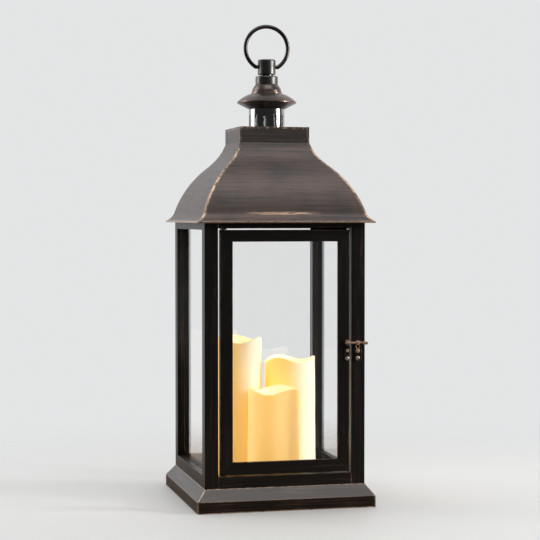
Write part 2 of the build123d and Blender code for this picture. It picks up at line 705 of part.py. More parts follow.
def latch_keeper():
    """Plate on the post with the stud, its two buttress ribs and a boss."""
    plate_face, boss_face, arm_back, arm_front = latch_layers()
    face = -BODY_HALF - LATCH_PLATE_THICK
    plate = block(*KEEPER_X, face, -BODY_HALF, *KEEPER_Z)
    plate = fillet(plate.edges().filter_by(Axis.Y), KEEPER_ROUND)
    stud_x, stud_z = STUD
    keeper = plate + inward(stud_x, stud_z, arm_front - RIVET_HEAD_RISE, face, STUD_R)
    boss = Pos(stud_x, face, KEEPER_BOSS_Z) * Rot(90, 0, 0) * Cone(*KEEPER_BOSS, align=BOTTOM_ALIGN)
    keeper = keeper + boss
    rib_place = Pos(stud_x, face - RIB[1] / 4, KEEPER_BOSS_Z)
    for lean in (-RIB_LEAN, RIB_LEAN):
        keeper = keeper + rib_place * Rot(0, lean, 0) * Pos(0, 0, RIB[2] / 2) * Box(*RIB)
    return keeper - inward(stud_x, SCREW_Z, face - PAST, -BODY_HALF + PAST, SCREW_SHANK_R + SLIP)


def latch_screw(x, seat_y):
    return Pos(x, seat_y, SCREW_Z) * Rot(90, 0, 0) * pan_screw(*LATCH_SCREW)


# ---------------------------------------------------------------- candles
def candle_wax(x, y, top):
    """Wax shell with a melted recess, hollow below."""
    body = Cone(CANDLE_R, CANDLE_R - CANDLE_TAPER, top - CANDLE_FOOT, align=BOTTOM_ALIGN)
    wax = Pos(x, y, CANDLE_FOOT) * body
    wax = fillet(wax.edges().group_by(Axis.Z)[-1], WAX_ROUND)
    wax = wax - upright(x, y, top - RECESS_DEPTH, top + PAST, RECESS_R)
    cavity_top = top - RECESS_DEPTH - DIAPHRAGM
    wax = wax - upright(x, y, CANDLE_FOOT - PAST, cavity_top, CANDLE_BORE)
    return wax - upright(x, y, cavity_top - PAST, top, LIGHT_R + 2 * CLEAR)


def candle_housing(x, y, top):
    """Battery housing with its bay and the stem that carries the light."""
    foot = CANDLE_FOOT + HOUSING_LIFT
    crown = foot + HOUSING_HEIGHT
    housing = upright(x, y, foot, crown, HOUSING_R)
    housing = housing - upright(x, y, foot + HOUSING_WALL, crown - HOUSING_WALL, HOUSING_R - HOUSING_WALL)
    bay_y = (y - COVER_HALF_Y, y + COVER_HALF_Y)
    for side in (-1, 1):
        wall_x = sorted((x + side * CONTACT_X, x + side * (CONTACT_X + BAY_WALL)))
        wall = block(*wall_x, *bay_y, foot, foot + BAY_DEPTH)
        housing = housing + (wall & upright(x, y, foot, crown, HOUSING_R))
    bottom = (foot - PAST, foot + HOUSING_WALL)
    opening = block(x - CONTACT_X, x + CONTACT_X, *bay_y, *bottom)
    slot_x = (SWITCH_KNOB[0] + SWITCH_TRAVEL) / 2 + CLEAR
    slot_y = SWITCH_KNOB[1] / 2 + CLEAR
    slot = Pos(x, y + SWITCH_Y, 0) * block(-slot_x, slot_x, -slot_y, slot_y, *bottom)
    stem_top = top - RECESS_DEPTH - DIAPHRAGM - CLEAR
    stem = upright(x, y, crown - HOUSING_WALL, stem_top, STEM_R)
    bore = upright(x, y, crown - HOUSING_WALL - PAST, stem_top + PAST, STEM_BORE)
    return housing - opening - slot + stem - bore


def candle_cover(x, y, top):
    """Battery cover with a finger notch."""
    foot = CANDLE_FOOT + HOUSING_LIFT
    half_x = CONTACT_X - CLEAR
    half_y = COVER_HALF_Y - CLEAR
    cover = block(x - half_x, x + half_x, y - half_y, y + half_y, foot, foot + HOUSING_WALL)
    return cover - Pos(x, y - half_y, foot) * Cylinder(COVER_NOTCH_R, HOUSING_WALL)


def cell_axis_z():
    """Height of the cells' axes."""
    return CANDLE_FOOT + HOUSING_LIFT + HOUSING_WALL + CELL_LIFT + CELL_R


def cell_rows(y):
    """Y of each cell, and the way along X that its nub points."""
    return ((y - CELL_PITCH, 1), (y, -1), (y + CELL_PITCH, 1))


def candle_cells(x, y, top):
    """Three cells side by side, turned end for end."""
    z = cell_axis_z()
    end = CELL_LENGTH / 2
    cells = []
    for cell_y, way in cell_rows(y):
        nub_x = sorted((x + way * end, x + way * (end + CELL_NUB)))
        cells.append(across(x - end, x + end, cell_y, z, CELL_R) + across(*nub_x, cell_y, z, CELL_NUB_R))
    return Compound(cells)


def candle_contacts(x, y, top):
    """Contact plates at both ends of the bay, with a button for each cell."""
    z = cell_axis_z()
    half_y, half_z = CONTACT_HALF
    plates = []
    for side in (-1, 1):
        back = x + side * CONTACT_X
        face = back - side * CONTACT_THICK
        plate = block(*sorted((face, back)), y - half_y, y + half_y, z - half_z, z + half_z)
        for cell_y, way in cell_rows(y):
            reach = CELL_LENGTH / 2 + (CELL_NUB if way == side else 0)
            button_x = sorted((x + side * reach, back - side * CONTACT_THICK / 2))
            plate = plate + across(*button_x, cell_y, z, CONTACT_BUTTON_R)
        plates.append(plate)
    return Compound(plates)


def candle_light(x, y, top):
    """Light with a flame-shaped diffuser standing in the recess."""
    seat = top - RECESS_DEPTH - DIAPHRAGM - CLEAR
    floor = top - RECESS_DEPTH
    plug = upright(x, y, seat - PLUG_DEPTH, seat, STEM_BORE - BOLT_SLIP)
    body = upright(x, y, seat, floor + PAST, LIGHT_R)
    tip = Pos(x, y, floor + PAST) * Cone(LIGHT_R, LIGHT_TIP_R, LIGHT_TIP_RISE, align=BOTTOM_ALIGN)
    tip = fillet(tip.edges().group_by(Axis.Z)[-1], EDGE_ROUND)
    return plug + body + tip


def candle_switch(x, y, top):
    """Slide switch under the housing, at its on position."""
    foot = CANDLE_FOOT + HOUSING_LIFT
    plate_top = foot + HOUSING_WALL
    knob_x, knob_y = (size / 2 for size in SWITCH_KNOB)
    flange_x, flange_y = (size / 2 for size in SWITCH_FLANGE)
    flange_z = (plate_top + CLEAR, plate_top + 4 * CLEAR)
    switch = block(-knob_x, knob_x, -knob_y, knob_y, foot - SWITCH_DROP, flange_z[0])
    switch = switch + block(-flange_x, flange_x, -flange_y, flange_y, *flange_z)
    return Pos(x + SWITCH_TRAVEL / 2, y + SWITCH_Y, 0) * switch


# ---------------------------------------------------------------- assembly
def lantern_nodes():
    """Every piece of the lantern by name."""
    keeper_x = STUD[0]
    plate_x = sum(LATCH_PLATE_X) / 2
    panes = on_three_sides(pane_left())
    nodes = {
        "base_plinth": base_plinth(),
        "floor_pan": floor_pan(),
        "floor_screws": floor_screws(),
        "post_front_left": post(-1, -1),
        "post_front_right": post(1, -1),
        "post_rear_left": post(-1, 1),
        "post_rear_right": post(1, 1),
        "rail_front_bottom": rail_front_bottom(),
        "rail_front_top": rail_front_top(),
        "rails_bottom": Compound([drilled(r) for r in on_three_sides(side_rail(LEDGE_Z, SIDE_RAIL_TOP))]),
        "rails_top": Compound(on_three_sides(side_rail(SIDE_HEADER_BOTTOM, EAVE_Z))),
        "pane_left": panes[0],
        "pane_right": panes[1],
        "pane_rear": panes[2],
        "pane_clips": pane_clips(),
        "roof_shell": roof_shell(),
        "roof_cap_plate": roof_cap_plate(),
        "chimney_tube": chimney_tube(),
        "vent_cap": vent_cap(),
        "finial_collar": finial_collar(),
        "finial_knob": finial_knob(),
        "tie_bar": tie_bar(),
        "tie_bolt": tie_bolt(),
        "ring_handle": ring_handle(),
        "hinge_pins": hinge_pins(),
        "door_stop": door_stop(),
        "door_pane": door_pane(),
        "door_clips": door_clips(),
        "door_bushes": door_bushes(),
        "latch_plate": latch_plate(),
        "latch_pivot": latch_pivot(),
        "latch_arm": latch_arm(),
        "latch_keeper": latch_keeper(),
        "latch_screw_door": latch_screw(plate_x, DOOR_FRONT - LATCH_PLATE_THICK),
        "latch_screw_keeper": latch_screw(keeper_x, -BODY_HALF - LATCH_PLATE_THICK),
    }
    nodes.update(door_members())
    return nodes


def candle_nodes():
    """Every piece of the three candles by name."""
    pieces = {
        "wax": candle_wax,
        "housing": candle_housing,
        "cover": candle_cover,
        "cells": candle_cells,
        "contacts": candle_contacts,
        "light": candle_light,
        "switch": candle_switch,
    }
    nodes = {}
    for candle, (x, y, top) in CANDLES.items():
        for piece, make in pieces.items():
            nodes[candle + "_" + piece] = make(x, y, top)
    return nodes


def main():
    os.makedirs("parts", exist_ok=True)
    nodes = lantern_nodes()
    nodes.update(candle_nodes())
    for name, shape in nodes.items():
        export_step(shape, "parts/" + name + ".step")


main()
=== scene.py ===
import json
import math

import bpy
from bpy.props import FloatProperty, FloatVectorProperty, IntProperty, PointerProperty
from bpy.types import Operator, Panel, PropertyGroup
from mathutils import Euler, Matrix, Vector, noise


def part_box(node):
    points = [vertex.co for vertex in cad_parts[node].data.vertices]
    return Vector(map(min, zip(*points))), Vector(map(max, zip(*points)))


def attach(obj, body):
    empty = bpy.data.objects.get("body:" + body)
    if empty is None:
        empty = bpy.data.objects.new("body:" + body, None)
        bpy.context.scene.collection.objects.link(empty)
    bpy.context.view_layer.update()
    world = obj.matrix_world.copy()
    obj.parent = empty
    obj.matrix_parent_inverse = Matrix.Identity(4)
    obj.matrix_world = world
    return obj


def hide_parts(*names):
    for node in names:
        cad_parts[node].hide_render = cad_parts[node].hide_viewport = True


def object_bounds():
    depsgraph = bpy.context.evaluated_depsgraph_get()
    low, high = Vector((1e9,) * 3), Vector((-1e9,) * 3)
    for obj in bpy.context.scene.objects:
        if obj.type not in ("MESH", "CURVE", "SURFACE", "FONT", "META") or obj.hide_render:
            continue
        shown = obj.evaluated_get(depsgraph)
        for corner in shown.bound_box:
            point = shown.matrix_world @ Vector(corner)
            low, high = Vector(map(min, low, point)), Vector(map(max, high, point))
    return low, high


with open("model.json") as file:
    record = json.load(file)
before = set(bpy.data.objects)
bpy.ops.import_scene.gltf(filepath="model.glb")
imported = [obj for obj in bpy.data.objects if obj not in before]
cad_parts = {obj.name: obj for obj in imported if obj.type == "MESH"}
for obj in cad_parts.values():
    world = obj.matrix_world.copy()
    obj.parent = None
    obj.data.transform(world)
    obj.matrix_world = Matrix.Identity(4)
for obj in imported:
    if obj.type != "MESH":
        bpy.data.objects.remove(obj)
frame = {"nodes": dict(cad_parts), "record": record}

bl_info = {
    "name": "Candle Lantern",
    "version": (1, 0, 0),
    "blender": (4, 5, 0),
    "location": "View3D > Sidebar > Lantern",
    "description": "Finishes a glazed bronze lantern and its three battery candles",
    "category": "Object",
}

NODES = frame["nodes"]
SLOTS = {part["node"]: part["material_slot"] for part in frame["record"]["subparts"]}
LANTERN_LOW, LANTERN_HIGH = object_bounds()


# ---------------------------------------------------------------- sizes and colours
def colour(name, description, default):
    """Colour property in linear light."""
    return FloatVectorProperty(
        name=name, description=description, subtype="COLOR", size=3, min=0.0, max=1.0, default=default
    )


def length(name, description, default):
    """Length property in metres."""
    return FloatProperty(name=name, description=description, unit="LENGTH", default=default)


class LanternFinish(PropertyGroup):
    """Colours and wear of the lantern's metal and glass."""

    bronze_dark: colour("Bronze, dark", "Oil-rubbed bronze in full patina", (0.0170, 0.0164, 0.0154))
    bronze_brown: colour("Bronze, brown", "Bronze where the patina is rubbed thin", (0.050, 0.036, 0.030))
    roof_dark: colour("Roof, dark", "Patina of the roof between the brush strokes", (0.082, 0.078, 0.078))
    roof_brown: colour("Roof, brown", "Brushed strokes on the roof", (0.142, 0.106, 0.096))
    base_dark: colour("Base, dark", "Patina on the slopes of the base", (0.112, 0.105, 0.103))
    base_brown: colour("Base, brown", "Strokes on the slopes of the base", (0.170, 0.142, 0.132))
    # Upright edge of the base: darker and browner than the slopes as painted shade and a painted reflection
    # of the brown floor
    side_shade_dark: colour("Base side, dark", "Patina on the upright edge of the base", (0.022, 0.017, 0.014))
    side_shade_brown: colour("Base side, brown", "Strokes on the upright edge of the base", (0.090, 0.058, 0.042))
    gunmetal: colour("Gunmetal", "Bright plating of the flue", (0.500, 0.500, 0.505))
    finial_dark: colour("Finial", "Dark plating of the knob and ring", (0.150, 0.145, 0.142))
    cap_dark: colour("Cap, dark", "Patina of the vent cap", (0.100, 0.092, 0.087))
    cap_brown: colour("Cap, brown", "Vent cap where the patina is rubbed thin", (0.180, 0.128, 0.114))
    copper: colour("Copper", "Bare metal on worn edges", (0.600, 0.330, 0.220))
    # Also used wide on the roof's hips and on the latch's ribs, where it serves in part as a painted
    # highlight
    copper_bright: colour("Copper, bright", "Bare metal polished by fingers", (0.900, 0.620, 0.430))
    zinc: colour("Zinc", "Plated screws", (0.760, 0.755, 0.740))
    nickel: colour("Nickel", "Plated battery contacts", (0.700, 0.670, 0.610))
    glass_tint: colour("Glass", "Tint of the clear panes", (0.998, 0.999, 0.998))
    wear_reach: length("Wear reach", "How far bare metal shows beside an edge", 0.0022)
    edge_round: length("Edge rounding", "Radius of the folded sheet's edges", 0.0007)
    plate_thickness: length("Latch plate", "Thickness of the latch's two plates", 0.0012)
    neck_height: length("Neck height", "Height of the roof's neck, which is less worn", 0.035)
    mark_height: length("Mark height", "Height above the eave of the rubbed mark on the roof", 0.014)


class CandleForm(PropertyGroup):
    """Shape and glow of the wax."""

    rim_wave: length("Rim wave", "Half the height of the melted rim's three waves", 0.0038)
    lip: length("Lip", "Thickness of the melted rim", 0.0036)
    recess: length("Recess depth", "From the highest rim to the wax pool", 0.014)
    diaphragm: length("Diaphragm", "Wax under the pool", 0.006)
    bore: length("Bore radius", "Hollow for the battery housing", 0.032)
    light_hole: length("Light hole radius", "Hole round the light", 0.0042)
    taper: length("Taper", "How much less the radius is at the rim", 0.0012)
    steps: IntProperty(name="Steps round", description="Points round the wax", min=24, default=120)
    wax: colour("Wax", "Ivory wax", (0.930, 0.840, 0.670))
    wax_warm: colour("Wax, lit", "Wax where the light shines through it", (0.920, 0.720, 0.410))
    glow_foot: colour("Glow at the foot", "Light through the wax low down", (0.640, 0.335, 0.030))
    glow_body: colour("Glow below the rim", "Light through the wax near the light", (0.680, 0.365, 0.035))
    glow_pool: colour("Glow in the recess", "Light on the wax pool and its wall", (0.600, 0.470, 0.200))
    glow_side: FloatProperty(
        name="Glow side", description="Side of the candle that the light leans to", unit="ROTATION",
        default=math.radians(205.0),
    )


class StudioSetup(PropertyGroup):
    """Camera, floor and lamps."""

    camera_place: FloatVectorProperty(
        name="Camera", description="Place of the camera", subtype="TRANSLATION", unit="LENGTH",
        default=(-0.5622, -2.3689, 0.42585),
    )
    camera_turn: FloatProperty(
        name="Turn", description="Turn of the camera from straight ahead", unit="ROTATION",
        default=math.radians(-13.47),
    )
    camera_tilt: FloatProperty(
        name="Tilt", description="Tilt of the camera below level", unit="ROTATION",
        default=math.radians(1.968),
    )
    lens: FloatProperty(name="Lens", description="Focal length in millimetres", default=107.5)
    wall: colour("Wall", "Pale wall behind the lantern", (0.775, 0.785, 0.790))
    floor: colour("Floor", "Pale floor", (0.800, 0.795, 0.780))
    floor_glow: colour("Floor, reflected", "Brown thrown up on the lantern", (0.260, 0.165, 0.100))
    floor_radius: length("Floor radius", "Where the floor has faded into the wall", 1.0)


# ---------------------------------------------------------------- node helpers
class Graph:
    """A node tree with short ways to add and join its nodes."""

    def __init__(self, tree):
        self.tree = tree
        self.column = 0

    def add(self, kind, inputs=None, **settings):
        """Adds a node, sets it up, and joins or fills its inputs."""
        node = self.tree.nodes.new(kind)
        node.location = (self.column * 180.0, 0.0)
        self.column += 1
        for name, value in settings.items():
            setattr(node, name, value)
        for key, value in (inputs or {}).items():
            if isinstance(value, bpy.types.NodeSocket):
                self.tree.links.new(value, node.inputs[key])
            else:
                node.inputs[key].default_value = value
        return node

    def math(self, operation, first, second=0.0, clamp=False):
        """Result of one sum."""
        node = self.add("ShaderNodeMath", {0: first, 1: second}, operation=operation, use_clamp=clamp)
        return node.outputs[0]

    def span(self, value, low, high, out_low=0.0, out_high=1.0):
        """Value carried smoothly from one range to another."""
        inputs = {"Value": value, "From Min": low, "From Max": high, "To Min": out_low, "To Max": out_high}
        return self.add("ShaderNodeMapRange", inputs, interpolation_type="SMOOTHSTEP").outputs["Result"]

    def mix(self, amount, first, second):
        """Colour between two colours."""
        node = self.add("ShaderNodeMix", {0: amount, 6: first, 7: second}, data_type="RGBA")
        return node.outputs[2]

    def noise(self, vector, scale, detail=4.0, roughness=0.5):
        """Noise from 0 to 1."""
        inputs = {"Vector": vector, "Scale": scale, "Detail": detail, "Roughness": roughness}
        return self.add("ShaderNodeTexNoise", inputs).outputs["Fac"]

    def place(self):
        """Point of the piece, in metres, that moves with the piece."""
        return self.add("ShaderNodeTexCoord").outputs["Object"]

    def vector(self, operation, inputs):
        """Vector from one vector sum."""
        return self.add("ShaderNodeVectorMath", inputs, operation=operation).outputs[0]

    def stretched(self, vector, stretch):
        """Vector multiplied part by part."""
        return self.vector("MULTIPLY", {0: vector, 1: stretch})

    def split(self, vector):
        """The X, Y and Z of a vector."""
        return self.add("ShaderNodeSeparateXYZ", {0: vector}).outputs


def rgba(value):
    """Colour with full opacity."""
    return (*value, 1.0)


def new_group(name, inputs, outputs):
    """Empty shader group with named sockets, as a graph with its two ends."""
    tree = bpy.data.node_groups.new(name, "ShaderNodeTree")
    for socket, kind, default in inputs:
        item = tree.interface.new_socket(name=socket, in_out="INPUT", socket_type=kind)
        item.default_value = default
    for socket, kind in outputs:
        tree.interface.new_socket(name=socket, in_out="OUTPUT", socket_type=kind)
    graph = Graph(tree)
    start = graph.add("NodeGroupInput")
    return graph, start.outputs


def close_group(graph, results):
    """Joins the results to the group's outputs."""
    graph.add("NodeGroupOutput", results)
    return graph.tree


def use_group(graph, name, **inputs):
    """Places a group in a material with its own values."""
    node = graph.add("ShaderNodeGroup", node_tree=bpy.data.node_groups[name])
    for key, value in inputs.items():
        socket = node.inputs[key.replace("_", " ").title()]
        if isinstance(value, bpy.types.NodeSocket):
            graph.tree.links.new(value, socket)
        else:
            socket.default_value = value
    return node.outputs


# How far the surface turns at a fully worn edge, the noise that breaks the wear up, and how softly it ends.
EDGE_TURN = 0.16
BREAKUP_BAND = (0.30, 0.70)
WEAR_SOFTNESS = 0.30
CLOUD_BAND = (0.34, 0.66)
SPECK_BAND = (0.60, 0.72)
DRIFT_SCALE = 7.0
FINE_SCALE = 5.0


def worn_edges_group():
    """Bare metal beside the edges, broken up by noise, and the edges' rounded normal."""
    graph, given = new_group(
        "Worn Edges",
        [
            ("Reach", "NodeSocketFloat", 0.002),
            ("Rounding", "NodeSocketFloat", 0.0007),
            ("Amount", "NodeSocketFloat", 0.5),
            ("Breakup Scale", "NodeSocketFloat", 90.0),
        ],
        [("Wear", "NodeSocketFloat"), ("Normal", "NodeSocketVector")],
    )
    wide = graph.add("ShaderNodeBevel", {"Radius": given["Reach"]}, samples=8).outputs[0]
    narrow = graph.add("ShaderNodeBevel", {"Radius": given["Rounding"]}, samples=6).outputs[0]
    face = graph.add("ShaderNodeNewGeometry").outputs["Normal"]
    facing = graph.add("ShaderNodeVectorMath", {0: wide, 1: face}, operation="DOT_PRODUCT").outputs["Value"]
    turn = graph.math("SUBTRACT", 1.0, facing)
    breakup = graph.noise(graph.place(), given["Breakup Scale"], detail=6.0, roughness=0.65)
    level = graph.math("MULTIPLY", graph.span(turn, 0.0, EDGE_TURN), graph.span(breakup, *BREAKUP_BAND))
    low = graph.math("SUBTRACT", 1.0, given["Amount"])
    wear = graph.span(level, low, graph.math("ADD", low, WEAR_SOFTNESS))
    return close_group(graph, {"Wear": wear, "Normal": narrow})


def brushed_grain_group():
    """Strokes left by a brush or an abrasive pad, long in one direction."""
    graph, given = new_group(
        "Brushed Grain",
        [("Stretch", "NodeSocketVector", (6.0, 6.0, 260.0)), ("Waver", "NodeSocketFloat", 0.004)],
        [("Streak", "NodeSocketFloat"), ("Fine", "NodeSocketFloat"), ("Height", "NodeSocketFloat")],
    )
    place = graph.place()
    inputs = {"Vector": place, "Scale": DRIFT_SCALE, "Detail": 2.0}
    drift = graph.add("ShaderNodeTexNoise", inputs).outputs["Color"]
    drift = graph.vector("SUBTRACT", {0: drift, 1: (0.5, 0.5, 0.5)})
    drift = graph.vector("SCALE", {0: drift, "Scale": given["Waver"]})
    moved = graph.vector("ADD", {0: place, 1: drift})
    grain = graph.stretched(moved, given["Stretch"])
    streak = graph.noise(grain, 1.0, detail=5.0, roughness=0.6)
    fine = graph.noise(grain, FINE_SCALE, detail=3.0, roughness=0.6)
    height = graph.math("ADD", graph.math("MULTIPLY", streak, 0.6), graph.math("MULTIPLY", fine, 0.4))
    return close_group(graph, {"Streak": streak, "Fine": fine, "Height": height})


def patina_group():
    """Cloudy patches and fine specks in the patina."""
    graph, given = new_group(
        "Patina",
        [("Cloud Scale", "NodeSocketFloat", 14.0), ("Speck Scale", "NodeSocketFloat", 700.0)],
        [("Cloud", "NodeSocketFloat"), ("Speck", "NodeSocketFloat")],
    )
    place = graph.place()
    cloud = graph.span(graph.noise(place, given["Cloud Scale"], detail=5.0), *CLOUD_BAND)
    speck = graph.span(graph.noise(place, given["Speck Scale"], detail=2.0), *SPECK_BAND)
    return close_group(graph, {"Cloud": cloud, "Speck": speck})


# ---------------------------------------------------------------- materials
# Strokes per metre along X, Y and Z.
UPRIGHT_GRAIN = (330.0, 330.0, 7.0)
LEVEL_GRAIN = (7.0, 7.0, 420.0)
TURNED_GRAIN = (40.0, 40.0, 500.0)
ROOF_GRAIN = (9.0, 9.0, 620.0)
SCUFF_GRAIN = (60.0, 60.0, 900.0)
# Half width of a ground mitre, and half the height over which the roof's wear falls off.
MITRE_WIDTH = 0.003
FADE = 0.006
# How far a boss or rib stands in front of its plate where its bright copper starts, and where it is full:
# rubbed metal on the bosses, a painted highlight on the ribs.
RELIEF_DEPTHS = (0.0002, 0.0010)
# Rubbed mark on the front of the roof: where along it, and half its width and height.
SCUFF_X = -0.005
SCUFF_SIZE = (0.062, 0.0028)
# Roughness added by the grain, and taken off where metal is bare.
GRAIN_ROUGHNESS = 0.16
BARE_POLISH = 0.14
BROWN_SOFTNESS = 0.30


def new_material(name):
    """Empty material as a graph with its surface output."""
    material = bpy.data.materials.new(name)
    material.use_nodes = True
    material.node_tree.nodes.clear()
    graph = Graph(material.node_tree)
    return material, graph, graph.add("ShaderNodeOutputMaterial")


def principled(graph, output, **inputs):
    """Principled surface joined to the output."""
    values = {key.replace("_", " ").title().replace("Ior", "IOR"): value for key, value in inputs.items()}
    shader = graph.add("ShaderNodeBsdfPrincipled", values)
    graph.tree.links.new(shader.outputs[0], output.inputs["Surface"])
    return shader


def away_from_mitres(low, high, amount):
    """Wear of a mitred frame: nothing along the ground joints at its corners."""
    centre = (low + high) / 2
    longer = ((high.x - low.x) - (high.z - low.z)) / 2

    def wear(graph):
        parts = graph.split(graph.place())
        across = graph.math("ABSOLUTE", graph.math("SUBTRACT", parts["X"], centre.x))
        upward = graph.math("ABSOLUTE", graph.math("SUBTRACT", parts["Z"], centre.z))
        offset = graph.math("SUBTRACT", longer, graph.math("SUBTRACT", across, upward))
        return graph.span(graph.math("ABSOLUTE", offset), MITRE_WIDTH, 2 * MITRE_WIDTH, 0.0, amount)

    return wear


def less_above(height, below, above):
    """Wear that falls off above a height."""

    def wear(graph):
        upward = graph.split(graph.place())["Z"]
        return graph.span(upward, height - FADE, height + FADE, below, above)

    return wear


def level_scuff(centre, half_width, half_height):
    """Ragged level mark on the front where the patina is rubbed through."""

    def mark(graph):
        parts = graph.split(graph.place())
        across = graph.math("ABSOLUTE", graph.math("SUBTRACT", parts["X"], centre.x))
        upward = graph.math("ABSOLUTE", graph.math("SUBTRACT", parts["Z"], centre.z))
        along = graph.span(across, half_width, half_width * 0.3)
        inside = graph.math("MULTIPLY", along, graph.span(upward, half_height, half_height * 0.2))
        front = graph.math("LESS_THAN", parts["Y"], 0.0)
        ragged = graph.span(graph.noise(graph.stretched(graph.place(), SCUFF_GRAIN), 1.0), 0.36, 0.56)
        return graph.math("MULTIPLY", graph.math("MULTIPLY", inside, front), ragged)

    return mark


def relief_rub_and_highlight(face):
    """Bosses, studs and ribs drawn bright copper where they stand in front of their plate's face: rubbed
    metal on the bosses and studs, and a painted highlight on the ribs.
    """

    def mark(graph):
        depth = graph.split(graph.place())["Y"]
        raised = graph.span(depth, face - RELIEF_DEPTHS[0], face - RELIEF_DEPTHS[1])
        ragged = graph.span(graph.noise(graph.place(), 900.0), 0.30, 0.62, 0.35, 1.0)
        return graph.math("MULTIPLY", raised, ragged)

    return mark


def bronze(
    name, finish, grain, shades, brown_from, wear, rough, streak_wear=0.0, metallic=0.55, reach=1.0,
    cloudy=0.12, breakup=90.0, copper=None, mark=None, shaded_sides=None,
):
    """Oil-rubbed bronze: dark patina, brushed brown strokes and bare copper on the edges.

    Shades are the patina's and the strokes' colours, and shaded sides the same for upright faces, drawn
    darker as painted shade and a painted reflection of the brown floor. Wear is a number or a function that
    works it out in the material, and mark is such a function for one place."""
    material, graph, output = new_material(name)
    amount = wear(graph) if callable(wear) else wear
    strokes = use_group(graph, "Brushed Grain", stretch=grain)
    patina = use_group(graph, "Patina")
    edges = use_group(
        graph, "Worn Edges", reach=finish.wear_reach * reach, rounding=finish.edge_round, amount=amount,
        breakup_scale=breakup,
    )
    rubbed = graph.math("ADD", strokes["Streak"], graph.math("MULTIPLY", patina["Cloud"], cloudy))
    rubbed = graph.span(rubbed, brown_from, brown_from + BROWN_SOFTNESS)
    surface = graph.mix(rubbed, *map(rgba, shades))
    # Upright faces get darker, browner colours than faces turned upward: painted shade and a painted
    # reflection of the brown floor
    if shaded_sides:
        upright = graph.mix(rubbed, *map(rgba, shaded_sides))
        facing = graph.add("ShaderNodeNewGeometry").outputs["Normal"]
        surface = graph.mix(graph.span(graph.split(facing)["Z"], 0.2, 0.4), upright, surface)
    bare = edges["Wear"]
    if streak_wear:
        line = graph.span(strokes["Fine"], 0.60, 0.72)
        patch = graph.span(strokes["Streak"], 0.56, 0.66)
        scuff = graph.math("MULTIPLY", graph.math("MULTIPLY", line, patch), streak_wear)
        bare = graph.math("MAXIMUM", bare, scuff)
    if mark:
        bare = graph.math("MAXIMUM", bare, mark(graph))
    surface = graph.mix(bare, surface, rgba(copper or finish.copper))
    uneven = graph.math("ADD", strokes["Fine"], patina["Speck"])
    roughness = graph.span(uneven, 0.3, 1.0, rough, rough + GRAIN_ROUGHNESS)
    bump = graph.add(
        "ShaderNodeBump",
        {"Strength": 0.25, "Distance": 0.0004, "Height": strokes["Height"], "Normal": edges["Normal"]},
    )
    roughness = graph.math("SUBTRACT", roughness, graph.math("MULTIPLY", bare, BARE_POLISH))
    principled(
        graph, output, base_color=surface, metallic=metallic, roughness=roughness, normal=bump.outputs[0],
        specular_ior_level=0.4,
    )
    return material


def plated(name, finish, shade, rough):
    """Plated metal with faint cloudy marks of handling."""
    material, graph, output = new_material(name)
    patina = use_group(graph, "Patina", cloud_scale=60.0)
    shade_low = tuple(part * 0.85 for part in shade)
    surface = graph.mix(patina["Cloud"], rgba(shade), rgba(shade_low))
    roughness = graph.span(patina["Cloud"], 0.0, 1.0, rough, rough + 0.05)
    rounded = graph.add("ShaderNodeBevel", {"Radius": finish.edge_round}, samples=8).outputs[0]
    principled(graph, output, base_color=surface, metallic=1.0, roughness=roughness, normal=rounded)
    return material


def plastic(name, shade, rough):
    """Moulded plastic with a fine spark-eroded texture."""
    material, graph, output = new_material(name)
    patina = use_group(graph, "Patina", cloud_scale=60.0, speck_scale=2200.0)
    shade_low = tuple(part * 0.9 for part in shade)
    surface = graph.mix(patina["Cloud"], rgba(shade), rgba(shade_low))
    bump = graph.add("ShaderNodeBump", {"Strength": 0.15, "Distance": 0.0002, "Height": patina["Speck"]})
    roughness = graph.span(patina["Cloud"], 0.0, 1.0, rough, rough + 0.08)
    principled(graph, output, base_color=surface, roughness=roughness, normal=bump.outputs[0])
    return material


def clear_glass(finish):
    """Clear pane that lets lamps through."""
    material, graph, output = new_material("Clear Glass")
    patina = use_group(graph, "Patina", cloud_scale=6.0)
    roughness = graph.span(patina["Cloud"], 0.0, 1.0, 0.0, 0.015)
    shader = graph.add(
        "ShaderNodeBsdfPrincipled",
        {
            "Base Color": rgba(finish.glass_tint), "Roughness": roughness, "IOR": 1.5,
            "Transmission Weight": 1.0,
        },
    )
    passing = graph.add("ShaderNodeBsdfTransparent")
    shadow = graph.add("ShaderNodeLightPath").outputs["Is Shadow Ray"]
    both = graph.add("ShaderNodeMixShader", {0: shadow, 1: shader.outputs[0], 2: passing.outputs[0]})
    graph.tree.links.new(both.outputs[0], output.inputs["Surface"])
    return material


def candle_wax(form):
    """Ivory wax lit from inside, its glow painted on the mesh."""
    material, graph, output = new_material("Candle Wax")
    painted = graph.add("ShaderNodeAttribute", attribute_name="Glow").outputs
    patina = use_group(graph, "Patina", cloud_scale=30.0, speck_scale=900.0)
    pale = tuple(min(1.0, part * 1.06) for part in form.wax)
    surface = graph.mix(patina["Cloud"], rgba(form.wax), rgba(pale))
    surface = graph.mix(painted["Alpha"], surface, rgba(form.wax_warm))
    roughness = graph.span(patina["Cloud"], 0.0, 1.0, 0.42, 0.55)
    bump = graph.add("ShaderNodeBump", {"Strength": 0.08, "Distance": 0.0006, "Height": patina["Cloud"]})
    principled(
        graph, output, base_color=surface, roughness=roughness, normal=bump.outputs[0],
        subsurface_weight=0.25, subsurface_radius=(0.012, 0.006, 0.003), subsurface_scale=1.0,
        emission_color=painted["Color"], emission_strength=1.0,
    )
    return material


def candle_lamp(form):
    """Amber diffuser of the light."""
    material, graph, output = new_material("Candle Lamp")
    patina = use_group(graph, "Patina", cloud_scale=200.0)
    glow = graph.mix(patina["Cloud"], rgba(form.glow_pool), (1.0, 0.62, 0.20, 1.0))
    roughness = graph.span(patina["Cloud"], 0.0, 1.0, 0.25, 0.4)
    principled(
        graph, output, base_color=(0.9, 0.72, 0.45, 1.0), roughness=roughness, emission_color=glow,
        emission_strength=2.0,
    )
    return material


